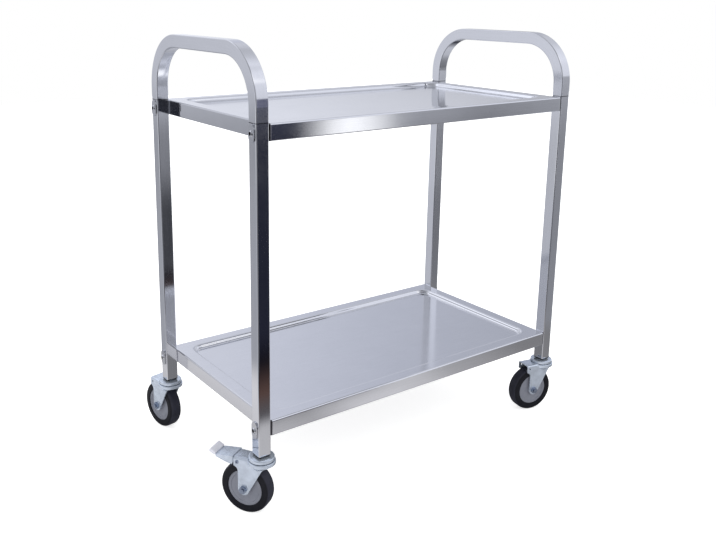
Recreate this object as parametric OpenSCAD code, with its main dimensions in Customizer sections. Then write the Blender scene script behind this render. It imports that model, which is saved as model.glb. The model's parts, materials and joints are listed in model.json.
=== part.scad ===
// Two-tier serving trolley in millimetres. The origin is on the floor, midway between the four legs.
// +X runs along the shelves to the right-hand handle, +Y to the back and +Z up.

/* [Frame] */
// Length over the outer faces of the legs
frame_l = 780; // [640:10:900]
// Width over the outer faces of the legs
frame_w = 406; // [360:2:500]
// Height from the floor to the top of the handles
frame_h = 855; // [700:5:1000]
// Side of the square tube
tube = 25; // [22:1:30]
// Wall of the square tube
tube_wall = 1.2; // [0.8:0.1:2]
// Outside corner radius of the square tube
tube_r = 2; // [1.5:0.5:3]
// Outside radius of the handle bends
bend_r = 105; // [80:5:110]
// Height of the tube joints above the rim of the upper shelf
seam_up = 1; // [0.5:0.5:10]
// Reach of a joining sleeve below the shelf bolt
sleeve_reach = 49; // [20:1:80]
// Wall of a joining sleeve
sleeve_wall = 1.5; // [1:0.5:2]

/* [Shelves] */
// Height of the handles above the rim of the upper shelf
handle_rise = 132; // [120:1:200]
// Height of the lower shelf rim above the foot of the legs
lower_rise = 65; // [58:1:200]
// Depth of the skirt round a shelf
skirt_h = 30; // [28:1:40]
// Thickness of the shelf sheet
sheet = 1; // [0.8:0.1:1.5]
// Width of the flat rim round the well
rim_w = 25; // [20:1:35]
// Depth of the well
well_h = 8; // [5:1:10]
// Width of the sloping wall of the well, measured flat
well_run = 12; // [10:1:16]
// Corner radius at the top of the well
well_r = 30; // [26:1:40]
// Outside radius of the bend from rim to skirt
rim_r = 3; // [2:0.5:5]
// Outside radius of the upright corners of a shelf
corner_r = 4; // [3:0.5:6]
// Outside radius of the bend under the skirt
hem_r = 2; // [1.5:0.5:3]
// Width of the lip turned in under the skirt
hem_w = 9; // [6:1:14]
// Width of the stiffening channel under a shelf
stiff_w = 60; // [40:5:90]
// Depth of the stiffening channel
stiff_h = 16; // [10:1:20]
// Width of the welded flange on each side of the channel
stiff_flange = 12; // [8:1:16]
// Slope of the channel's sides, measured flat
stiff_slope = 5; // [2:1:8]

/* [Fasteners] */
// Diameter of a shelf bolt
bolt_d = 6; // [5:1:8]
// Clearance on the diameter of the bolt holes
bolt_gap = 0.4; // [0.2:0.1:1]
// Drop from the shelf rim to the bolts
bolt_drop = 16; // [12:1:18]
// Diameter of a domed bolt head
head_d = 11.5; // [10:0.5:13]
// Height of a domed bolt head
head_h = 3.6; // [3:0.2:5]
// Width across the flats of the socket in a bolt head
socket_w = 4; // [3:0.5:5]
// Height of a saddle plate
plate_h = 33; // [28:1:40]
// Width of a saddle plate
plate_w = 20; // [16:1:22]
// Thickness of a saddle plate
plate_t = 2.5; // [1.5:0.5:4]
// Width across the flats of a shelf nut
nut_w = 10; // [8:1:13]
// Height of a shelf nut with its flange
nut_h = 7; // [5:0.5:9]
// Diameter of the nut's flange
nut_flange_d = 14; // [12:1:16]

/* [Casters] */
// Wheel diameter over the tyre
wheel_d = 100; // [90:1:125]
// Width of the tyre
tyre_w = 27; // [24:1:28]
// Radius of the tyre's shoulders
tyre_shoulder = 7; // [5:0.5:9]
// Radius of the grey face of the wheel core
core_r = 34.5; // [32:0.5:37]
// Distance from the swivel axis back to the axle
trail = 29; // [26:1:33]
// Side gap between the tyre and the fork
fork_gap = 1.2; // [0.8:0.1:2]
// Thickness of the fork steel
fork_t = 2.5; // [2:0.5:3]
// Radius of the lower race, which is part of the fork
lower_race_r = 26; // [25:0.5:28]
// Radius of the upper race
upper_race_r = 24; // [23:0.5:25]
// Height of the fork's top plate above the tyre
crown_gap = 3.5; // [3:0.5:5]
// Length of the neck between the upper race and the leg plug
neck_h = 1.9; // [1.5:0.1:8]
// Pitch radius of the bearing balls
ball_ring_r = 18; // [16:0.5:19]
// Diameter of a bearing ball
ball_d = 5; // [4:0.5:5]
// Number of bearing balls in each caster
ball_count = 16; // [10:1:18]
// Diameter of the caster's stem and kingpin
stem_d = 12; // [10:1:12]
// Length of the stem inside the leg
stem_l = 34; // [25:1:40]
// Diameter of an axle bolt
axle_d = 8; // [6:1:8]
// Outside diameter of the axle sleeve inside the wheel core
axle_sleeve_d = 12; // [11:1:14]
// Radial running clearance of the kingpin, the wheel core and the brake pedal
run_gap = 0.08; // [0.05:0.01:0.1]
// Radius of the wheel core's boss
boss_r = 11; // [10:0.5:13]
// Heading of the front left caster, from +X towards +Y
front_left_heading = 121; // [0:1:359]
// Heading of the front right caster
front_right_heading = 168; // [0:1:359]
// Heading of the back left caster
back_left_heading = 100; // [0:1:359]
// Heading of the back right caster
back_right_heading = 140; // [0:1:359]

/* [Brake] */
// Distance from the axle back to the pedal's pin
pin_back = 13; // [12:0.5:14]
// Diameter of the pedal's pin
brake_pin_d = 4; // [3:0.5:5]
// Angle that the pedal turns through from released to pressed
brake_angle = 12; // [8:1:14]
// Gap between the pressed brake shoe and the tyre
shoe_gap = 0.3; // [0.2:0.1:1]
// Width of the brake shoe
shoe_w = 16; // [10:1:20]
// Length of the brake shoe
shoe_l = 10; // [6:1:14]
// Distance from the axle back to the tip of the tread
pedal_reach = 70; // [63:1:76]
// Slope of the pedal from the fork down to the tread
pedal_drop = 7; // [0:1:9]
// Thickness of the pedal steel
pedal_t = 2; // [1.5:0.5:2.5]
// Length of the grey tread
tread_l = 14; // [12:1:18]
// Width of the grey tread
tread_w = 32; // [31:1:36]
// Thickness of the grey tread
tread_h = 6.5; // [5:0.5:9]
// Slope of the tread up to its tip
tread_tilt = 28; // [15:1:35]

/* [Hidden] */
$fn = 48;

half_l = frame_l / 2;
half_w = frame_w / 2;
shelf_l = frame_l - 2 * tube;
leg_x = half_l - tube / 2;
leg_y = half_w - tube / 2;
bolt_hole_d = bolt_d + bolt_gap;

// Caster levels, from the floor up to the foot of the legs
wheel_r = wheel_d / 2;
plug_flange = 2.5;
crown_z = wheel_d + crown_gap;
crown_top = crown_z + fork_t;
lower_race_h = 4;
lower_race_top = crown_top + lower_race_h;
race_gap = 1.6;
upper_race_z = lower_race_top + race_gap;
upper_race_h = 6;
neck_top = upper_race_z + upper_race_h + neck_h;
caster_h = neck_top + plug_flange;

// Frame levels
upper_z = frame_h - handle_rise;
lower_z = caster_h + lower_rise;
seam_z = upper_z + seam_up;

// Joining sleeves: they end below the handle bends
sleeve_fit = 0.1;
sleeve_end = 2;
handle_straight = frame_h - bend_r - seam_z;
sleeve_top = seam_z + handle_straight - sleeve_end;
sleeve_foot = upper_z - bolt_drop - sleeve_reach;
sleeve_side = tube - 2 * tube_wall - 2 * sleeve_fit;
sleeve_corner = 1.2;

// Corners of the frame by name: sign in X, sign in Y
FRONT_LEFT = [-1, -1];
FRONT_RIGHT = [1, -1];
BACK_LEFT = [-1, 1];
BACK_RIGHT = [1, 1];
CORNERS = [FRONT_LEFT, FRONT_RIGHT, BACK_LEFT, BACK_RIGHT];
SHELF_HEIGHTS = [upper_z, lower_z];

// Gap between the stiffening channel's end and the foot of the well's wall
stiff_end = 10;

// Leg plug
plug_fit = 0.1;
plug_inset = 0.5;
plug_bore_gap = 0.1;
plug_side = tube - 2 * tube_wall - 2 * plug_fit;
plug_corner = 1;
plug_end = 3;
plug_face = tube - 2 * plug_inset;
stem_gap = 1;

// Caster
fork_in = tyre_w / 2 + fork_gap;
fork_out = fork_in + fork_t;
neck_r = stem_d / 2 + 3;
rivet_r = 8.5;
rivet_h = 2;
rivet_gap = 0.1;
ball_z = lower_race_top + race_gap / 2;
groove_gap = 0.06;
axle_gap = 0.2;
pin_gap = 0.1;
cheek_r = 11.2;
cheek_front = -13;
cheek_bend_r = 20;
ear_low = crown_z - 9;
ear_r = 10;
bridge_start = trail - 15;
brake_pin_s = trail + pin_back;
bridge_end = brake_pin_s + 7;
bridge_rise = 5.5;
bridge_top = crown_top + bridge_rise;
pin_z = crown_z - 0.5;
pin_ear = 5;
core_boss = fork_in - 0.4;
core_face = 11.2;
core_seat = 2;
core_seat_h = 3;
pedal_w = 2 * fork_out;
pedal_top = bridge_top + 0.5;
pedal_start = bridge_end + 1.5;
pedal_end = trail + pedal_reach;
pedal_tip = pedal_end - tread_l * cos(tread_tilt);
tongue_w = 2 * fork_in - 1;
tongue_top = bridge_top - fork_t - 0.5;
tongue_start = brake_pin_s + 4;
tongue_low = 3;
flank_low = 7;
tip_h = 4;
tread_root = 1;
tread_slot = tread_l - 2;
tread_end = 0.8;
slot_gap = 0.1;

colour_steel = [0.78, 0.79, 0.82];
colour_zinc = [0.74, 0.78, 0.82];
colour_black = [0.10, 0.10, 0.11];
colour_grey = [0.72, 0.74, 0.78];
colour_bright = [0.86, 0.87, 0.89];

// Flat shapes

module rounded_square(w, h, r) {
    square([w - 2 * r, h], center = true);
    square([w, h - 2 * r], center = true);
    for (x = [-1, 1], y = [-1, 1])
        translate([x * (w / 2 - r), y * (h / 2 - r)]) circle(r);
}

module tube_section(side, wall, r) {
    difference() {
        rounded_square(side, side, r);
        rounded_square(side - 2 * wall, side - 2 * wall, max(r - wall, 0.3));
    }
}

module capsule(w, h) {
    square([w, h - w], center = true);
    for (y = [-1, 1]) translate([0, y * (h - w) / 2]) circle(w / 2);
}

// Bent sheet in section: the arc turns from one angle to another about the origin
module bend_section(inner, outer, from, to) {
    reach = 2 * outer;
    middle = (from + to) / 2;
    intersection() {
        difference() {
            circle(outer);
            circle(inner);
        }
        polygon([
            [0, 0], [reach * cos(from), reach * sin(from)],
            [reach * cos(middle), reach * sin(middle)], [reach * cos(to), reach * sin(to)]
        ]);
    }
}

// Sweeps a section round a rounded rectangle: the section's x is the distance out from the corner centres
module swept_ring(l, w, r) {
    for (y = [-1, 1])
        translate([0, y * (w / 2 - r), 0]) rotate([90, 0, y * 90])
            linear_extrude(l - 2 * r, center = true) children();
    for (x = [-1, 1])
        translate([x * (l / 2 - r), 0, 0]) rotate([90, 0, x > 0 ? 0 : 180])
            linear_extrude(w - 2 * r, center = true) children();
    for (x = [-1, 1], y = [-1, 1])
        translate([x * (l / 2 - r), y * (w / 2 - r), 0])
            rotate([0, 0, x > 0 ? (y > 0 ? 0 : 270) : (y > 0 ? 90 : 180)])
                rotate_extrude(angle = 90) children();
}

// Frame

module bolt_holes_x(z) {
    translate([-tube, 0, z]) rotate([0, 90, 0]) cylinder(d = bolt_hole_d, h = 2 * tube);
}

module handle(side) {
    color(colour_steel) translate([side * leg_x, 0, 0]) {
        for (y = [-1, 1])
            translate([0, y * leg_y, seam_z])
                linear_extrude(handle_straight) tube_section(tube, tube_wall, tube_r);
        for (y = [-1, 1])
            translate([0, y * (half_w - bend_r), frame_h - bend_r])
                rotate([90, 0, 90]) mirror([y > 0 ? 0 : 1, 0, 0])
                    rotate_extrude(angle = 90, $fn = 96)
                        translate([bend_r - tube / 2, 0]) tube_section(tube, tube_wall, tube_r);
        translate([0, 0, frame_h - tube / 2]) rotate([90, 0, 0])
            linear_extrude(frame_w - 2 * bend_r, center = true) tube_section(tube, tube_wall, tube_r);
    }
}

module leg(corner) {
    color(colour_steel) translate([corner[0] * leg_x, corner[1] * leg_y, 0]) difference() {
        translate([0, 0, caster_h]) linear_extrude(seam_z - caster_h) tube_section(tube, tube_wall, tube_r);
        for (z = SHELF_HEIGHTS) bolt_holes_x(z - bolt_drop);
    }
}

module joining_sleeves() {
    color(colour_zinc) for (corner = CORNERS)
        translate([corner[0] * leg_x, corner[1] * leg_y, 0]) difference() {
            translate([0, 0, sleeve_foot]) linear_extrude(sleeve_top - sleeve_foot)
                tube_section(sleeve_side, sleeve_wall, sleeve_corner);
            bolt_holes_x(upper_z - bolt_drop);
        }
}

module leg_plugs() {
    color(colour_black) for (corner = CORNERS)
        translate([corner[0] * leg_x, corner[1] * leg_y, caster_h]) difference() {
            union() {
                linear_extrude(stem_l + plug_end) rounded_square(plug_side, plug_side, plug_corner);
                translate([0, 0, -plug_flange])
                    linear_extrude(plug_flange) rounded_square(plug_face, plug_face, tube_r);
            }
            translate([0, 0, -plug_flange - 1])
                cylinder(d = stem_d + plug_bore_gap, h = stem_l + plug_flange + 1);
        }
}

// Shelves

// Section of the rim, the skirt and the start of the hem: x runs out from the corner centres
module skirt_section() {
    square_between(0, -sheet, corner_r - rim_r, 0);
    translate([corner_r - rim_r, -rim_r]) bend_section(rim_r - sheet, rim_r, 0, 90);
    square_between(corner_r - sheet, hem_r - skirt_h, corner_r, -rim_r);
    translate([corner_r - hem_r, hem_r - skirt_h]) bend_section(hem_r - sheet, hem_r, 270, 360);
    square_between(0, -skirt_h, corner_r - hem_r, sheet - skirt_h);
}

// Section of the well's wall: a convex bend at the rim runs straight into a concave bend at the floor
module well_section() {
    bend_in = (well_run * well_run + well_h * well_h) / (4 * well_h);
    turn = 2 * atan(well_h / well_run);
    translate([well_r, -bend_in]) bend_section(bend_in - sheet, bend_in, 90, 90 + turn);
    translate([well_r - well_run, bend_in - well_h]) bend_section(bend_in, bend_in + sheet, 270, 270 + turn);
}

module square_between(x0, y0, x1, y1) {
    translate([x0, y0]) square([x1 - x0, y1 - y0]);
}

module shelf(z) {
    well_l = shelf_l - 2 * rim_w;
    well_w = frame_w - 2 * rim_w;
    inner_l = shelf_l - 2 * corner_r;
    inner_w = frame_w - 2 * corner_r;
    color(colour_steel) translate([0, 0, z]) difference() {
        union() {
            swept_ring(shelf_l, frame_w, corner_r) skirt_section();
            swept_ring(well_l, well_w, well_r) well_section();
            translate([0, 0, -sheet]) linear_extrude(sheet) difference() {
                square([inner_l, inner_w], center = true);
                rounded_square(well_l, well_w, well_r);
            }
            translate([0, 0, -well_h - sheet]) linear_extrude(sheet)
                rounded_square(well_l - 2 * well_run, well_w - 2 * well_run, well_r - well_run);
            translate([0, 0, -skirt_h]) linear_extrude(sheet) difference() {
                square([inner_l, inner_w], center = true);
                square([shelf_l - 2 * hem_w, frame_w - 2 * hem_w], center = true);
            }
        }
        for (x = [-1, 1], y = [-1, 1])
            translate([x * shelf_l / 2, y * leg_y, 0]) bolt_holes_x(-bolt_drop);
    }
}

// Hat-shaped channel spot-welded along the underside of the well
module stiffener(z) {
    top = -well_h - sheet;
    side_x = stiff_w / 2 - stiff_flange;
    length = shelf_l - 2 * rim_w - 2 * well_run - 2 * stiff_end;
    outline = [
        [-stiff_w / 2, top], [-side_x, top], [-side_x + stiff_slope, top - stiff_h + sheet],
        [side_x - stiff_slope, top - stiff_h + sheet], [side_x, top], [stiff_w / 2, top],
        [stiff_w / 2, top - sheet], [side_x + sheet, top - sheet],
        [side_x - stiff_slope + sheet, top - stiff_h], [-side_x + stiff_slope - sheet, top - stiff_h],
        [-side_x - sheet, top - sheet], [-stiff_w / 2, top - sheet]
    ];
    color(colour_steel) translate([0, 0, z]) rotate([90, 0, 90])
        linear_extrude(length, center = true) polygon(outline);
}

// Fasteners

module at_bolts(z) {
    for (corner = CORNERS)
        translate([corner[0] * half_l, corner[1] * leg_y, z - bolt_drop])
            rotate([0, corner[0] * 90, 0]) children();
}

module saddle_plates(z) {
    edge = 0.8;
    color(colour_bright) at_bolts(z) difference() {
        union() {
            linear_extrude(plate_t - edge) rotate([0, 0, 90]) capsule(plate_w, plate_h);
            linear_extrude(plate_t) rotate([0, 0, 90]) capsule(plate_w - 2 * edge, plate_h - 2 * edge);
        }
        translate([0, 0, -1]) cylinder(d = bolt_hole_d, h = plate_t + 2);
    }
}

module bolts(z) {
    grip = plate_t + tube + sheet;
    dome_r = (head_d * head_d / 4 + head_h * head_h) / (2 * head_h);
    socket_depth = 2;
    end = 1.5;
    length = grip + nut_h + end;
    color(colour_bright) at_bolts(z) {
        difference() {
            translate([0, 0, plate_t]) intersection() {
                cylinder(d = head_d, h = head_h);
                translate([0, 0, head_h - dome_r]) sphere(dome_r);
            }
            translate([0, 0, plate_t + head_h - socket_depth])
                cylinder(d = socket_w / cos(30), h = head_h, $fn = 6);
        }
        translate([0, 0, plate_t - length]) cylinder(d = bolt_d, h = length);
    }
}

module nuts(z) {
    flange_t = 1.5;
    thread_gap = 0.1;
    color(colour_zinc) at_bolts(z) translate([0, 0, -tube - sheet]) difference() {
        union() {
            translate([0, 0, -nut_h]) cylinder(d = nut_w / cos(30), h = nut_h, $fn = 6);
            translate([0, 0, -flange_t]) cylinder(d = nut_flange_d, h = flange_t);
        }
        translate([0, 0, -nut_h - 1]) cylinder(d = bolt_d + thread_gap, h = nut_h + 2);
    }
}

// Casters: local +X is the trailing direction, local z = 0 is the floor

function heading(corner) =
    corner[0] < 0
        ? (corner[1] < 0 ? front_left_heading : back_left_heading)
        : (corner[1] < 0 ? front_right_heading : back_right_heading);

module at_caster(corner) {
    translate([corner[0] * leg_x, corner[1] * leg_y, 0]) rotate([0, 0, heading(corner)]) children();
}

module at_axle() {
    translate([trail, 0, wheel_r]) rotate([90, 0, 0]) children();
}

module at_brake_pin() {
    translate([brake_pin_s, 0, pin_z]) rotate([90, 0, 0]) children();
}

module upper_race(corner) {
    edge = 2;
    color(colour_zinc) at_caster(corner) difference() {
        union() {
            translate([0, 0, upper_race_z]) rotate_extrude($fn = 72) {
                square([upper_race_r, upper_race_h - edge]);
                square([upper_race_r - edge, upper_race_h]);
                translate([upper_race_r - edge, upper_race_h - edge]) circle(edge);
            }
            cylinder_between(neck_r, upper_race_z, neck_top);
            cylinder_between(stem_d / 2, crown_z - rivet_gap - rivet_h, caster_h + stem_l - stem_gap);
            translate([0, 0, crown_z - rivet_gap - rivet_h])
                cylinder(r1 = stem_d / 2, r2 = rivet_r, h = rivet_h);
        }
        translate([0, 0, ball_z]) ball_groove();
    }
}

module cylinder_between(r, z0, z1) {
    translate([0, 0, z0]) cylinder(r = r, h = z1 - z0);
}

module ball_groove() {
    rotate_extrude($fn = 72) translate([ball_ring_r, 0]) circle(ball_d / 2 + groove_gap);
}

module bearing_balls() {
    color(colour_bright) for (corner = CORNERS)
        at_caster(corner) for (i = [0 : ball_count - 1])
            rotate([0, 0, i * 360 / ball_count]) translate([ball_ring_r, 0, ball_z]) sphere(ball_d / 2);
}

// Where a line from point q touches a circle of radius r round c, on the front side
function tangent_foot(c, r, q) =
    let (angle = atan2(q[1] - c[1], q[0] - c[0]) + acos(r / norm(q - c)))
    c + r * [cos(angle), sin(angle)];

// Side outline of the fork: a cheek that tapers to the axle under a crown, with the bridge behind it
module fork_side() {
    axle = [trail, wheel_r];
    back = trail + cheek_r;
    corner = [cheek_front, crown_z];
    foot = tangent_foot(axle, 0.995 * cheek_r, corner);
    down = (foot - corner) / norm(foot - corner);
    open = acos(-down[0]);
    reach = cheek_bend_r / tan(open / 2);
    bend = [corner[0] - reach, crown_z - cheek_bend_r];
    difference() {
        union() {
            translate(axle) circle(cheek_r);
            polygon([
                [-lower_race_r, crown_top], [-lower_race_r, crown_z], [corner[0] - reach, crown_z], bend,
                corner + reach * down, foot, axle, [back, wheel_r], [back, ear_low - ear_r],
                [bridge_end, ear_low - ear_r], [bridge_end, bridge_top], [bridge_start + 5, bridge_top],
                [bridge_start, crown_top]
            ]);
        }
        translate(bend) circle(cheek_bend_r);
        translate([back + ear_r, ear_low - ear_r]) circle(ear_r);
    }
}

// Front outline of the fork, with its pressed shoulders
module fork_front() {
    shoulder = 4;
    square_between(-fork_out, 0, fork_out, bridge_top - shoulder);
    square_between(shoulder - fork_out, 0, fork_out - shoulder, bridge_top);
    for (y = [-1, 1]) translate([y * (fork_out - shoulder), bridge_top - shoulder]) circle(shoulder);
}

module along_side(w) {
    rotate([90, 0, 0]) linear_extrude(w, center = true) children();
}

module fork(corner) {
    flare_h = 9;
    edge = 1.5;
    cup_r = ball_ring_r - ball_d / 2 - 1.5;
    rim_gap = 1;
    color(colour_zinc) at_caster(corner) difference() {
        union() {
            intersection() {
                along_side(2 * fork_out) fork_side();
                translate([-lower_race_r, 0, 0]) rotate([90, 0, 90])
                    linear_extrude(lower_race_r + bridge_end) fork_front();
                linear_extrude(caster_h) {
                    circle(lower_race_r, $fn = 72);
                    square_between(0, -fork_out, bridge_end, fork_out);
                }
            }
            intersection() {
                along_side(2 * lower_race_r) fork_side();
                rotate_extrude($fn = 72) polygon([
                    [0, crown_z - flare_h], [fork_out, crown_z - flare_h],
                    [lower_race_r - edge, crown_z + 0.1], [0, crown_z + 0.1]
                ]);
            }
            translate([0, 0, crown_z]) rotate_extrude($fn = 72) {
                square([lower_race_r - edge, lower_race_top - crown_z]);
                square([lower_race_r, lower_race_top - crown_z - edge]);
                translate([lower_race_r - edge, lower_race_top - crown_z - edge]) circle(edge);
            }
        }
        along_side(2 * fork_in) fork_inside();
        cylinder_between(stem_d / 2 + run_gap, wheel_r, caster_h);
        translate([0, 0, ball_z]) ball_groove();
        cylinder_between(cup_r, crown_top + rim_gap, caster_h);
        cylinder_between(upper_race_r + rim_gap, lower_race_top, caster_h);
        at_axle() cylinder(d = axle_d + axle_gap, h = 4 * fork_out, center = true);
        at_brake_pin() cylinder(d = brake_pin_d + pin_gap, h = 4 * fork_out, center = true);
    }
}

// The space between the cheeks, seen from the side
module fork_inside() {
    step = 4;
    square_between(-2 * lower_race_r, 0, 2 * bridge_end, crown_z);
    polygon([
        [lower_race_r, wheel_r], [lower_race_r, crown_z], [lower_race_r + step, bridge_top - fork_t],
        [2 * bridge_end, bridge_top - fork_t], [2 * bridge_end, wheel_r]
    ]);
}

module axle_bolt(corner) {
    head_w = 13;
    head_t = 5;
    tail = 2;
    color(colour_bright) at_caster(corner) at_axle() {
        cylinder(d = axle_d, h = 2 * (fork_out + head_t + tail), center = true);
        for (side = [-1, 1])
            translate([0, 0, side * (fork_out + head_t / 2)])
                cylinder(d = head_w / cos(30), h = head_t, center = true, $fn = 6);
    }
}

module axle_sleeve(corner) {
    color(colour_zinc) at_caster(corner) at_axle() difference() {
        cylinder(d = axle_sleeve_d, h = 2 * fork_in, center = true);
        cylinder(d = axle_d + axle_gap, h = 2 * fork_in + 2, center = true);
    }
}

// Section of the wheel core: x is the radius, y the distance from the middle of the wheel
module core_section() {
    bore = axle_sleeve_d / 2 + run_gap;
    dish = core_face - 1.2;
    band = 5;
    half = [
        [bore, core_boss], [boss_r, core_boss], [boss_r + 1, dish], [core_r - band - 1, dish],
        [core_r - band, core_face], [core_r, core_face], [core_r + core_seat, core_face - core_seat_h]
    ];
    mirrored = [for (i = [len(half) - 1 : -1 : 0]) [half[i][0], -half[i][1]]];
    polygon(concat(half, mirrored));
}

module wheel_core(corner) {
    color(colour_grey) at_caster(corner) at_axle() rotate_extrude($fn = 96) core_section();
}

module tyre_section() {
    half = tyre_w / 2;
    seat = core_r + core_seat;
    side = core_r + 1;
    difference() {
        for (y = [-1, 1])
            translate([wheel_r - tyre_shoulder, y * (half - tyre_shoulder)]) circle(tyre_shoulder, $fn = 64);
        square_between(0, -half, seat, half);
    }
    square_between(seat, tyre_shoulder - half, wheel_r, half - tyre_shoulder);
    polygon([
        [seat, core_seat_h - core_face], [core_r, -core_face], [side, -half],
        [wheel_r - tyre_shoulder, -half], [wheel_r - tyre_shoulder, half],
        [side, half], [core_r, core_face], [seat, core_face - core_seat_h]
    ]);
}

module tyre(corner) {
    color(colour_black) at_caster(corner) at_axle() rotate_extrude($fn = 96) tyre_section();
}

// Brake, on the front left and back right casters

module brake_pin(corner) {
    head_t = 1.2;
    rivet_d = brake_pin_d + 3;
    bore_d = brake_pin_d - 1.2;
    bore_depth = 1.5;
    color(colour_bright) at_caster(corner) at_brake_pin() difference() {
        union() {
            cylinder(d = brake_pin_d, h = 2 * (fork_out + head_t), center = true);
            for (side = [-1, 1])
                translate([0, 0, side * (fork_out + head_t / 2)])
                    cylinder(d = rivet_d, h = head_t, center = true);
        }
        for (side = [-1, 1])
            translate([0, 0, side * (fork_out + head_t)])
                cylinder(d = bore_d, h = 2 * bore_depth, center = true);
    }
}

// The pedal's narrow tongue turns on the pin between the ears, and its wide channel starts behind them
module brake_pedal(corner) {
    tongue_in = tongue_w - 2 * pedal_t;
    wall = pedal_start + pedal_t;
    channel_in = pedal_w - 2 * pedal_t;
    color(colour_zinc) at_caster(corner) difference() {
        union() {
            difference() {
                union() {
                    along_side(tongue_w) tongue_side();
                    along_side(pedal_w) pedal_side(0);
                }
                along_side(tongue_in) square_between(0, 0, wall, tongue_top - pedal_t);
                along_side(tongue_in) square_between(0, 0, tongue_start, bridge_top);
                along_side(channel_in) intersection() {
                    pedal_side(pedal_t);
                    square_between(wall, 0, pedal_end, bridge_top + 1);
                }
            }
            at_tread() translate([-tread_root, -channel_in / 2, -pedal_t])
                cube([tread_root + tread_slot, channel_in, pedal_t]);
            brake_shoe();
        }
        at_brake_pin() cylinder(d = brake_pin_d + 2 * run_gap, h = 3 * fork_out, center = true);
    }
}

module tongue_side() {
    translate([brake_pin_s, pin_z]) circle(pin_ear);
    square_between(brake_pin_s, pin_z - tongue_low, pedal_start + pedal_t, tongue_top);
}

function pedal_level(s) = pedal_top - (s - pedal_start) * tan(pedal_drop);

// Side outline of the pedal channel, or of the space under its plate when sunk by the plate's thickness
module pedal_side(sunk) {
    low = sunk > 0 ? wheel_r : 0;
    tip_level = pedal_level(pedal_tip);
    polygon([
        [pedal_start, pedal_top - sunk], [pedal_start, pin_z - tongue_low - low],
        [pedal_start + 2, pin_z - flank_low - low], [pedal_start + 7, pin_z - flank_low - low],
        [pedal_start + 17, pin_z - flank_low + 2 - low],
        [pedal_tip, tip_level - tip_h - low], [pedal_tip, tip_level - sunk]
    ]);
}

module at_tread() {
    translate([pedal_tip, 0, pedal_level(pedal_tip)]) rotate([0, -tread_tilt, 0]) children();
}

// Shoe cut to the tyre's own curve, as the pressed pedal brings it there
module brake_shoe() {
    from = pedal_start + pedal_t;
    along_side(shoe_w) difference() {
        square_between(from - 0.5, wheel_r, from + shoe_l, pedal_level(from + shoe_l) - pedal_t / 2);
        translate([brake_pin_s, pin_z]) rotate(brake_angle)
            translate([trail - brake_pin_s, wheel_r - pin_z]) circle(wheel_r + shoe_gap, $fn = 96);
    }
}

// Moulded tread with a slot that the pedal's tongue is pushed into
module brake_tread(corner) {
    slot_w = pedal_w - 2 * pedal_t + 2 * slot_gap;
    color(colour_grey) at_caster(corner) at_tread() difference() {
        along_side(tread_w) tread_section();
        translate([-tread_root, -slot_w / 2, -pedal_t - slot_gap])
            cube([tread_root + tread_slot + slot_gap, slot_w, pedal_t + 2 * slot_gap]);
    }
}

module tread_section() {
    translate([tread_l / 2 + tread_end, -pedal_t / 2]) rounded_square(tread_l, tread_h, tread_h / 3);
}

handle(-1);  // left_handle
handle(1);  // right_handle
leg(FRONT_LEFT);  // front_left_leg
leg(FRONT_RIGHT);  // front_right_leg
leg(BACK_LEFT);  // back_left_leg
leg(BACK_RIGHT);  // back_right_leg
joining_sleeves();
shelf(upper_z);  // upper_shelf
shelf(lower_z);  // lower_shelf
stiffener(upper_z);  // upper_stiffener
stiffener(lower_z);  // lower_stiffener
saddle_plates(upper_z);  // upper_saddle_plates
saddle_plates(lower_z);  // lower_saddle_plates
bolts(upper_z);  // upper_bolts
bolts(lower_z);  // lower_bolts
nuts(upper_z);  // upper_nuts
nuts(lower_z);  // lower_nuts
leg_plugs();
bearing_balls();
upper_race(FRONT_LEFT);  // front_left_upper_race
upper_race(FRONT_RIGHT);  // front_right_upper_race
upper_race(BACK_LEFT);  // back_left_upper_race
upper_race(BACK_RIGHT);  // back_right_upper_race
fork(FRONT_LEFT);  // front_left_fork
fork(FRONT_RIGHT);  // front_right_fork
fork(BACK_LEFT);  // back_left_fork
fork(BACK_RIGHT);  // back_right_fork
axle_bolt(FRONT_LEFT);  // front_left_axle_bolt
axle_bolt(FRONT_RIGHT);  // front_right_axle_bolt
axle_bolt(BACK_LEFT);  // back_left_axle_bolt
axle_bolt(BACK_RIGHT);  // back_right_axle_bolt
axle_sleeve(FRONT_LEFT);  // front_left_axle_sleeve
axle_sleeve(FRONT_RIGHT);  // front_right_axle_sleeve
axle_sleeve(BACK_LEFT);  // back_left_axle_sleeve
axle_sleeve(BACK_RIGHT);  // back_right_axle_sleeve
wheel_core(FRONT_LEFT);  // front_left_wheel_core
wheel_core(FRONT_RIGHT);  // front_right_wheel_core
wheel_core(BACK_LEFT);  // back_left_wheel_core
wheel_core(BACK_RIGHT);  // back_right_wheel_core
tyre(FRONT_LEFT);  // front_left_tyre
tyre(FRONT_RIGHT);  // front_right_tyre
tyre(BACK_LEFT);  // back_left_tyre
tyre(BACK_RIGHT);  // back_right_tyre
brake_pin(FRONT_LEFT);  // front_left_brake_pin
brake_pin(BACK_RIGHT);  // back_right_brake_pin
brake_pedal(FRONT_LEFT);  // front_left_brake_pedal
brake_pedal(BACK_RIGHT);  // back_right_brake_pedal
brake_tread(FRONT_LEFT);  // front_left_brake_tread
brake_tread(BACK_RIGHT);  // back_right_brake_tread
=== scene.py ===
import json
import math

import bpy
from mathutils import Matrix, Vector

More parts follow.
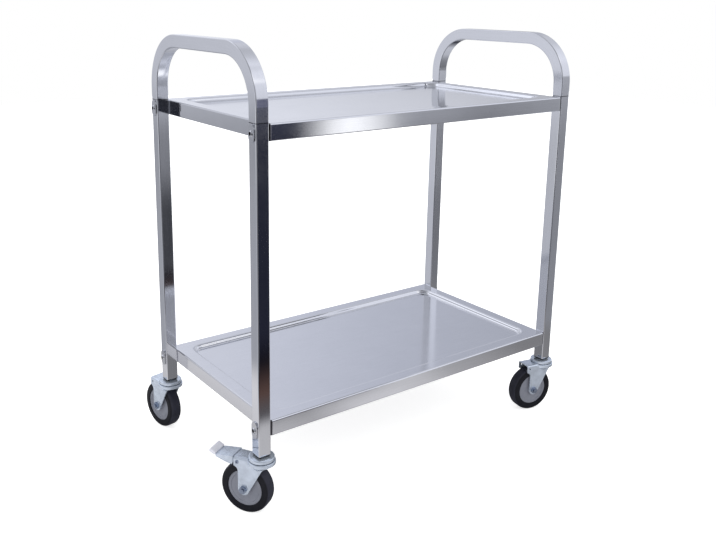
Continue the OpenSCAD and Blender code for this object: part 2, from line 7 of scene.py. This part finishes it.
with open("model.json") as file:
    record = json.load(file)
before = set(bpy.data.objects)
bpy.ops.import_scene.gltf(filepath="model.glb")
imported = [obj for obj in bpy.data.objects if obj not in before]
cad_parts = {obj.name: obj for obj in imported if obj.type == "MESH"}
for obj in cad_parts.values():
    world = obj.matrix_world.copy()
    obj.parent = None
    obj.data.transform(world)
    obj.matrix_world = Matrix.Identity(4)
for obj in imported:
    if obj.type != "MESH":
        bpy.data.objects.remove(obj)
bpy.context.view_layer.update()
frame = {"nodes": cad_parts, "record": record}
scene = bpy.context.scene


# Node helpers

class Tree:
    """Short calls for building the node tree of a material or a world."""

    def __init__(self, owner):
        owner.use_nodes = True
        self.nodes = owner.node_tree.nodes
        self.links = owner.node_tree.links
        self.nodes.clear()

    def put(self, socket, value):
        if isinstance(value, bpy.types.NodeSocket):
            self.links.new(value, socket)
        else:
            socket.default_value = value

    def node(self, kind, inputs=None, **settings):
        node = self.nodes.new("ShaderNode" + kind)
        for key, value in settings.items():
            setattr(node, key, value)
        for key, value in (inputs or {}).items():
            self.put(node.inputs[key], value)
        return node

    def math(self, operation, *values):
        return self.node("Math", dict(enumerate(values)), operation=operation).outputs[0]

    def times(self, a, b):
        return self.math("MULTIPLY", a, b)

    def size(self, value):
        return self.math("ABSOLUTE", value)

    def apart(self, a, b):
        """How far two values lie apart."""
        return self.size(self.math("SUBTRACT", a, b))

    def beyond(self, value, limit):
        """How far a value is past its limit, and 0 where it isn't."""
        return self.math("MAXIMUM", self.math("SUBTRACT", value, limit), 0.0)

    def hypot(self, a, b):
        return self.math("SQRT", self.math("ADD", self.times(a, a), self.times(b, b)))

    def total(self, start, *terms):
        """The start plus each term's value times its weight."""
        for value, weight in terms:
            start = self.math("ADD", self.times(value, weight), start)
        return start

    def vector(self, operation, *values, output=0):
        return self.node("VectorMath", dict(enumerate(values)), operation=operation).outputs[output]

    def split(self, vector):
        return self.node("SeparateXYZ", {0: vector}).outputs

    def join(self, x, y, z):
        return self.node("CombineXYZ", {0: x, 1: y, 2: z}).outputs[0]

    def smooth(self, value, low, high, to_low=0.0, to_high=1.0):
        """A soft step from to_low, where the value is low, to to_high, where it is high."""
        inputs = dict(enumerate((value, low, high, to_low, to_high)))
        return self.node("MapRange", inputs, interpolation_type="SMOOTHSTEP").outputs[0]

    def ramp(self, value, *stops):
        """A colour ramp, which holds no more than 32 stops."""
        node = self.node("ValToRGB", {0: value})
        elements = node.color_ramp.elements
        elements.remove(elements[0])
        elements[0].position = stops[0][0]
        elements[0].color = (*stops[0][1], 1)
        for position, colour in stops[1:]:
            elements.new(position).color = (*colour, 1)
        return node.outputs[0]

    def noise(self, vector, scale, detail=3.0, roughness=0.5):
        inputs = {"Vector": vector, "Scale": scale, "Detail": detail, "Roughness": roughness}
        return self.node("TexNoise", inputs).outputs[0]

    def mix(self, factor, a, b):
        return self.node("Mix", {0: factor, 6: a, 7: b}, data_type="RGBA").outputs[2]

    def bump(self, height, strength, distance):
        inputs = {"Height": height, "Strength": strength, "Distance": distance}
        return self.node("Bump", inputs).outputs[0]

    def place(self):
        return self.node("TexCoord").outputs["Object"]

    def glow(self, kind, colour, strength):
        return self.node(kind, {"Color": colour, "Strength": strength}).outputs[0]

    def either(self, factor, a, b):
        """Shader a where the factor is 0, and b where it is 1."""
        return self.node("MixShader", {0: factor, 1: a, 2: b}).outputs[0]

    def principled(self, **inputs):
        named = {key.replace("_", " "): value for key, value in inputs.items()}
        self.output(self.node("BsdfPrincipled", named).outputs[0])

    def output(self, shader, kind="OutputMaterial"):
        self.node(kind, {0: shader})


def scaled(colour, factor):
    return tuple(min(factor * c, 1) for c in colour)


# Places on the part, in metres

SEAM = 0.724  # level where the handles stand on the legs
BEND_Y, BEND_Z = 0.098, 0.75  # centre of each bend in a handle
LEG_END, LEG_FACE = 0.39, 0.203  # outer faces of the legs
LEG_Y = 0.1905  # centre lines of the legs
SHELF_END = 0.365  # ends of the shelves, against the legs
BOLT_LEVELS = (0.707, 0.171)
SOCKET_SHADE_IN, SOCKET_SHADE_OUT = 0.0032, 0.0038  # radius of the painted shade in a bolt's socket, and where it has faded
TREAD_IN, TREAD_OUT = 0.0465, 0.0488  # distance from the axle over which a tyre's side becomes its tread


# Materials

STEEL = (0.80, 0.81, 0.845)
# Painted shade: tone of the thin dark lines in the gaps at the legs
GAP_SHADE_TONE = (0.06, 0.06, 0.07, 1)
# Painted shade: tone inside the bolt sockets
SOCKET_SHADE_TONE = (0.015, 0.015, 0.018, 1)
TREAD_TONE = (0.030, 0.031, 0.046, 1)
ACROSS, ALONG = 900.0, 14.0  # lines in a metre across the brushing, and changes in a metre along a line


def steel(name, roughness, anisotropic, lie):
    """Satin stainless: fine lines, faint smudges, and reflections drawn out across the lines.

    The lines lie along "x" or "z", or follow the "tube" of a handle round its bends. Painted shade is drawn
    as thin dark lines in the gaps where the handles stand on the legs, and where the corners of a shelf meet
    the legs.
    """
    material = bpy.data.materials.new(name)
    t = Tree(material)
    place = t.place()
    x, y, z = t.split(place)
    round_bend = None
    if lie == "tube":
        out_y = t.beyond(t.size(y), BEND_Y)
        out_z = t.beyond(z, BEND_Z)
        turn = t.math("ARCTAN2", out_z, out_y)
        round_bend = t.join(0.0, t.times(out_z, t.math("SIGN", y)), t.times(out_y, -1.0))
        lined = t.join(t.times(x, ACROSS), t.times(t.hypot(out_y, out_z), ACROSS),
                       t.total(0.0, (turn, 2.0), (y, 12.0)))
    else:
        lined = t.join(*(t.times(value, ALONG if axis == lie else ACROSS)
                         for axis, value in zip("xyz", (x, y, z))))
    lines = t.noise(lined, 1.0, 4.0, 0.6)
    smudge = t.noise(place, 14.0, 4.0, 0.6)
    shade = t.ramp(t.total(0.0, (lines, 0.7), (smudge, 0.3)),
                   (0.25, scaled(STEEL, 0.93)), (0.75, scaled(STEEL, 1.04)))
    # Painted shade in the gaps: on a shelf, thin dark lines where its corners meet the legs; elsewhere, a
    # thin dark line at the level where the handles stand on the legs
    if lie == "x":
        gap_shade = t.times(t.smooth(t.size(x), SHELF_END - 0.0038, SHELF_END - 0.0022),
                       t.smooth(t.size(y), LEG_FACE - 0.0045, LEG_FACE - 0.003))
    else:
        gap_shade = t.smooth(t.apart(z, SEAM), 0.0009, 0.0004)
    t.principled(
        Base_Color=t.mix(gap_shade, shade, GAP_SHADE_TONE), Metallic=1.0, Anisotropic=anisotropic,
        Roughness=t.total(roughness - 0.04, (smudge, 0.08), (lines, 0.03)), Anisotropic_Rotation=0.25,
        Normal=t.bump(t.total(t.noise(place, 5.0, 2.0), (lines, 0.25)), 0.06, 0.001),
        Tangent=line_direction(t, lie, round_bend))
    return material


def line_direction(t, lie, round_bend):
    """The direction of the brushed lines on each face of a piece."""
    if lie == "z":
        return t.join(0.05, 0.05, 1.0)
    normal = t.node("NewGeometry").outputs["True Normal"]
    normal_x, _, normal_z = t.split(normal)
    if lie == "x":
        ends = t.join(t.size(normal_z), 0.0, 0.0)
        return t.vector("ADD", t.vector("CROSS_PRODUCT", (0.0, 0.0, 1.0), normal), ends)
    # The lines lie square to X on a handle's outer and inner faces, and turn with the bend on its side faces
    inputs = {"Vector": round_bend, "Scale": t.times(t.size(normal_x), 40.0)}
    sides = t.node("VectorMath", inputs, operation="SCALE").outputs[0]
    return t.vector("ADD", t.vector("CROSS_PRODUCT", normal, (1.0, 0.0, 0.0)), sides)


def plated(name, colour, roughness, mottle, bump_strength, metallic=1.0, sockets=False):
    """Plated or polished steel with a faint cloudy change of tone. With sockets, painted shade darkens the
    inside of the bolt sockets.
    """
    material = bpy.data.materials.new(name)
    t = Tree(material)
    place = t.place()
    cloud = t.noise(place, 60.0, 5.0, 0.6)
    fine = t.noise(place, 700.0, 2.0)
    shade = t.ramp(cloud, (0.3, scaled(colour, 1 - mottle)), (0.7, colour))
    # Painted shade inside each bolt socket on the legs
    if sockets:
        x, y, z = t.split(place)
        off_y = t.apart(t.size(y), LEG_Y)
        off_z = t.math("MINIMUM", *(t.apart(z, level) for level in BOLT_LEVELS))
        shade = t.mix(t.smooth(t.hypot(off_y, off_z), SOCKET_SHADE_OUT, SOCKET_SHADE_IN), shade, SOCKET_SHADE_TONE)
    t.principled(
        Base_Color=shade, Metallic=metallic, Roughness=t.total(roughness - 0.06, (cloud, 0.12)),
        Normal=t.bump(t.total(fine, (cloud, 2.0)), bump_strength, 0.0004))
    return material


def moulded(name, colour, roughness, grain_scale, bump_strength, dust=0.0, gloss=0.5, wheel=None):
    """Moulded plastic or rubber: a fine skin texture and a slightly uneven tone.

    A wheel is the joint that a tyre turns on. The face of the tyre that runs on the floor is paler than its
    sides, in uneven patches.
    """
    material = bpy.data.materials.new(name)
    t = Tree(material)
    place = t.place()
    cloud = t.noise(place, 45.0, 4.0, 0.6)
    skin = t.noise(place, grain_scale, 3.0)
    dusty = tuple(c + (1 - c) * dust for c in colour)
    shade = t.ramp(cloud, (0.3, scaled(colour, 0.9)), (0.75, dusty))
    if wheel:
        out = t.vector("SUBTRACT", place, tuple(wheel["pos_m"]))
        radius = t.vector("LENGTH", t.vector("CROSS_PRODUCT", out, tuple(wheel["axis"])), output=1)
        paler_tread = t.times(t.smooth(radius, TREAD_IN, TREAD_OUT), t.smooth(cloud, 0.2, 0.6, 0.6, 1.0))
        shade = t.mix(paler_tread, shade, TREAD_TONE)
    t.principled(
        Base_Color=shade, Roughness=t.total(roughness - 0.05, (skin, 0.1)), Specular_IOR_Level=gloss,
        Normal=t.bump(skin, bump_strength, 0.0005))
    return material


leg_steel = steel("leg_steel", 0.075, 0.3, "z")
handle_steel = steel("handle_steel", 0.095, 0.4, "tube")
shelf_steel = steel("shelf_steel", 0.085, 0.85, "x")
bolt_steel = plated("bolt_steel", (0.74, 0.75, 0.78), 0.10, 0.15, 0.05, sockets=True)
plate_steel = plated("plate_steel", (0.66, 0.67, 0.70), 0.22, 0.10, 0.10)
ball_steel = plated("ball_steel", (0.86, 0.87, 0.89), 0.10, 0.03, 0.02)
zinc = plated("zinc", (0.74, 0.82, 0.94), 0.17, 0.24, 0.30, metallic=0.72)
axle_steel = plated("axle_steel", (0.40, 0.46, 0.58), 0.12, 0.30, 0.10)
grey_plastic = moulded("grey_plastic", (0.20, 0.21, 0.255), 0.42, 900.0, 0.12, dust=0.03)
tread_plastic = moulded("tread_plastic", (0.74, 0.75, 0.83), 0.45, 900.0, 0.15, dust=0.03)
black_plastic = moulded("black_plastic", (0.012, 0.012, 0.014), 0.45, 900.0, 0.12)

WHEEL_TURN = "_wheel_turn"
tyres = {}
for joint in frame["record"]["behaviour"]["joints"]:
    if joint["name"].endswith(WHEEL_TURN):
        corner = joint["name"].removesuffix(WHEEL_TURN)
        tyres[corner] = moulded("rubber_" + corner, (0.007, 0.0075, 0.012), 0.50, 1200.0, 0.2,
                                dust=0.004, gloss=0.2, wheel=joint)

# Materials by the last word of a node's name
MATERIALS = {
    "handle": handle_steel, "leg": leg_steel, "shelf": shelf_steel, "stiffener": shelf_steel,
    "plates": plate_steel, "bolts": bolt_steel, "nuts": zinc, "sleeves": zinc, "plugs": black_plastic,
    "balls": ball_steel, "race": zinc, "fork": zinc, "bolt": axle_steel, "sleeve": zinc,
    "core": grey_plastic, "pin": axle_steel, "pedal": zinc, "tread": tread_plastic,
}
for node in frame["nodes"]:
    corner, _, part = node.rpartition("_")
    material = tyres[corner] if part == "tyre" else MATERIALS[part]
    for slot in frame["nodes"][node].material_slots:
        slot.material = material


# Camera

EYE = (-1.09008, -1.378965, 0.927763)
YAW, PITCH, ROLL = 0.620, 0.235, 0.010
LENS_PX, PHOTO_WIDTH_PX, SENSOR_MM = 845.609, 716, 36
SHIFT = (0.04585, -0.1001)


def add_camera():
    """The photograph's viewpoint and framing."""
    forward = Vector((math.sin(YAW) * math.cos(PITCH), math.cos(YAW) * math.cos(PITCH), -math.sin(PITCH)))
    level = Vector((math.cos(YAW), -math.sin(YAW), 0))
    upright = level.cross(forward)
    right = math.cos(ROLL) * level + math.sin(ROLL) * upright
    up = math.cos(ROLL) * upright - math.sin(ROLL) * level
    camera = bpy.data.objects.new("camera", bpy.data.cameras.new("camera"))
    scene.collection.objects.link(camera)
    camera.matrix_world = Matrix((
        (right[0], up[0], -forward[0], EYE[0]),
        (right[1], up[1], -forward[1], EYE[1]),
        (right[2], up[2], -forward[2], EYE[2]),
        (0, 0, 0, 1),
    ))
    camera.data.sensor_width = SENSOR_MM
    camera.data.lens = LENS_PX / PHOTO_WIDTH_PX * SENSOR_MM
    camera.data.shift_x, camera.data.shift_y = SHIFT
    camera.data.clip_end = 50
    scene.camera = camera


add_camera()


# Studio

def grey(value, tint=0.12):
    """A grey that leans towards blue."""
    return (value, value * (1 + 0.2 * tint), value * (1 + tint))


def navy(value):
    return (value, 1.05 * value, 1.6 * value)


BLACK = (0.018, 0.020, 0.034)
WHITE = (1.3, 1.31, 1.32)
LAMP = (1.6, 1.6, 1.6)
PLAIN_WHITE = (1, 1, 1, 1)

# Rows of panels round the part. Each goes from +Y through -X, -Y and +X and back to +Y, in degrees from -Y.
# A plain number is a grey.
DEEP = (
    (-180, 0.45), (-156, 0.38), (-149, 0.38), (-137, 0.57), (-129, 0.52), (-110, 0.60), (-88, 0.48),
    (-68, 0.16), (-34, 0.03), (-20, 0.03), (-12, 0.38), (4, 0.32), (12, 0.05), (18, 0.14), (24, 0.07),
    (27, BLACK), (37, BLACK), (41, 0.18), (44, 0.20), (51, 0.26), (65, 0.55), (95, 0.60), (110, 0.30),
    (125, BLACK), (135, 0.40), (160, 0.60), (180, 0.45),
)
LOW = (
    (-180, 0.50), (-156, 0.37), (-149, 0.34), (-140, 0.66), (-129, 0.47), (-122, WHITE), (-110, WHITE),
    (-90, 0.55), (-66, 0.16), (-34, BLACK), (-20, BLACK), (-12, 0.42), (12, BLACK), (19, 0.12), (23, 0.26),
    (26, 0.26), (28, BLACK), (34.7, BLACK), (35.6, LAMP), (38.8, (1.5, 1.5, 1.5)), (40.3, 0.28),
    (44, 0.24), (46.5, 0.15), (50.5, 0.26), (54, 0.36), (70, WHITE), (95, WHITE), (110, 0.35),
    (125, BLACK), (135, 0.50), (160, 0.70), (180, 0.50),
)
HORIZON = (
    (-180, 0.60), (-156, 0.58), (-149, 0.62), (-137, 0.68), (-129, 0.72), (-112, 0.70), (-88, 0.56),
    (-68, 0.20), (-34, 0.03), (-20, 0.03), (-12, 0.48), (12, 0.30), (20, 0.80), (25, 0.80),
    (28, navy(0.20)), (31.2, navy(0.09)), (34.4, navy(0.09)), (37, 0.70), (40, 0.60), (43.3, 0.50),
    (47, 0.40), (51, 0.40), (60, 0.50), (100, 0.75), (122, 0.46), (131, 0.36), (135, 0.50), (141, 0.54),
    (147, 0.62), (152, 0.80), (156, 0.95), (180, 0.80),
)
SILL = (
    (-180, 0.80), (-140, 0.55), (-129, 0.50), (-108, 0.60), (-90, 0.36), (-10, 0.32), (15, 0.34),
    (24.6, 0.33), (28, 0.55), (31, 0.78), (40, 0.85), (56, 0.76), (64, 0.86), (80, 0.80), (94, 0.72),
    (110, 0.68), (122, 0.60), (131, 0.62), (138, 0.72), (147, 0.82), (152, 0.80), (180, 0.80),
)
SIDE = (
    (-180, 0.80), (-140, 0.55), (-129, 0.50), (-108, 0.60), (-90, 0.42), (-10, 0.38), (15, 0.36),
    (24.6, 0.33), (28, 0.55), (31, 0.78), (40, 0.85), (56, 0.80), (64, 0.90), (80, 0.80), (94, 0.72),
    (110, 0.70), (120, 0.60), (130, grey(0.45, 0.2)), (140, grey(0.54, 0.2)), (147, grey(0.64, 0.18)),
    (153, grey(0.71, 0.15)), (160, 0.80), (180, 0.80),
)
UPPER = (
    (-180, 0.80), (-150, 1.25), (-135, 1.25), (-112, 0.60), (-85, 0.38), (-10, 0.38), (10, 1.2),
    (20, LAMP), (34, LAMP), (40, 0.85), (58, 0.90), (80, 0.80), (100, 0.64), (127, 0.60), (142, 0.68),
    (160, 0.75), (180, 0.80),
)
TOP = (
    (-180, 0.40), (-90, 0.35), (0, 0.35), (36, 0.40), (66, 0.85), (99, 0.62), (127, 0.52), (142, 0.48),
    (180, 0.40),
)
# Rows above the lowest, with the two heights in degrees between which each takes over from the one below it
HIGHER_ROWS = (
    (LOW, -14, -11), (HORIZON, -9.5, -4.5), (SILL, 5.3, 7.3), (SIDE, 10, 16), (UPPER, 29, 37), (TOP, 46, 57),
)


def studio_world():
    """White to the camera. Metal sees a studio: pale all round, with dark flags and lit panels."""
    world = bpy.data.worlds.new("studio")
    scene.world = world
    t = Tree(world)
    way = t.node("TexCoord").outputs["Generated"]
    x, y, z = t.split(way)
    turn = t.math("DIVIDE", t.math("ARCTAN2", x, t.times(y, -1.0)), 2 * math.pi)
    turn = t.math("ADD", turn, 0.5)

    def row(stops):
        return t.ramp(turn, *((degrees / 360 + 0.5, tone if isinstance(tone, tuple) else grey(tone))
                              for degrees, tone in stops))

    seen = row(DEEP)
    for stops, start, end in HIGHER_ROWS:
        rise = t.smooth(z, math.sin(math.radians(start)), math.sin(math.radians(end)))
        seen = t.mix(rise, seen, row(stops))
    # Everything but metal is lit evenly, and a little more from the camera's left and above
    facing = t.vector("DOT_PRODUCT", way, (-0.55, -0.45, 0.70), output=1)
    even = t.glow("Background", PLAIN_WHITE, t.smooth(facing, -0.6, 1.0, 0.45, 1.35))
    ray = t.node("LightPath").outputs
    lit = t.either(ray["Is Glossy Ray"], even, t.glow("Background", seen, 1.0))
    seen_through = t.math("MAXIMUM", ray["Is Camera Ray"], ray["Is Transmission Ray"])
    t.output(t.either(seen_through, lit, t.glow("Background", PLAIN_WHITE, 1.0)), "OutputWorld")


studio_world()


FLOOR_HALF, FLOOR_LEVEL = 6, -0.0005
# Bands of tone that the floor glows with near the part, seen only by metal, by X in metres
FLOOR_BANDS = (
    (-0.80, 0.45), (-0.65, 0.76), (-0.54, 0.68), (-0.46, 0.54), (-0.30, 0.55), (-0.19, 0.54), (-0.10, 0.47),
    (0.03, 0.70), (0.13, 0.70), (0.25, 0.60), (0.34, 0.44), (0.47, 0.36), (0.60, 0.25), (0.80, 0.23),
)


def floor():
    """White floor with a soft shadow. Near the part it glows to metal only, with bands of tone, painted
    shade under the part and brown to black in front; further off metal sees the studio.
    """
    corners = ((-1, -1), (1, -1), (1, 1), (-1, 1))
    mesh = bpy.data.meshes.new("floor")
    mesh.from_pydata([(FLOOR_HALF * i, FLOOR_HALF * j, FLOOR_LEVEL) for i, j in corners], [], [(0, 1, 2, 3)])
    thing = bpy.data.objects.new("floor", mesh)
    scene.collection.objects.link(thing)
    material = bpy.data.materials.new("floor")
    mesh.materials.append(material)
    t = Tree(material)
    x, y, z = t.split(t.node("NewGeometry").outputs["Position"])
    away = t.hypot(t.beyond(t.size(x), LEG_END), t.beyond(t.size(y), LEG_FACE))
    ahead = t.beyond(-LEG_FACE, y)

    bands = t.ramp(t.math("MULTIPLY_ADD", x, 0.5, 0.5),
                   *((0.5 * place + 0.5, (tone, tone * 0.99, tone * 1.02)) for place, tone in FLOOR_BANDS))
    # Painted shade under the part, seen only by metal: inside the legs the floor glows dark grey
    shade_under_and_bands = t.mix(t.smooth(away, 0.01, 0.10), (0.21, 0.21, 0.22, 1), bands)
    brown = t.ramp(t.smooth(ahead, 0.30, 0.60), (0.0, (0.10, 0.10, 0.11)), (0.35, (0.11, 0.065, 0.055)),
                   (0.9, (0.025, 0.018, 0.02)), (1.0, (0.006, 0.006, 0.01)))
    in_front = t.times(t.smooth(ahead, 0.275, 0.335), t.smooth(x, 0.25, 0.10))
    near = t.glow("Emission", t.mix(in_front, shade_under_and_bands, brown), 1.0)
    far = t.smooth(t.math("SUBTRACT", away, t.times(ahead, 0.45)), 0.30, 0.42)
    to_metal = t.either(far, near, t.node("BsdfTransparent").outputs[0])

    plain = t.node("BsdfDiffuse", {"Color": (0.9, 0.9, 0.9, 1)}).outputs[0]
    to_camera = t.node("AddShader", {0: plain, 1: t.glow("Emission", PLAIN_WHITE, 0.66)}).outputs[0]
    ray = t.node("LightPath").outputs
    t.output(t.either(ray["Is Glossy Ray"], t.either(ray["Is Camera Ray"], plain, to_camera), to_metal))


floor()

scene.view_settings.view_transform = "Standard"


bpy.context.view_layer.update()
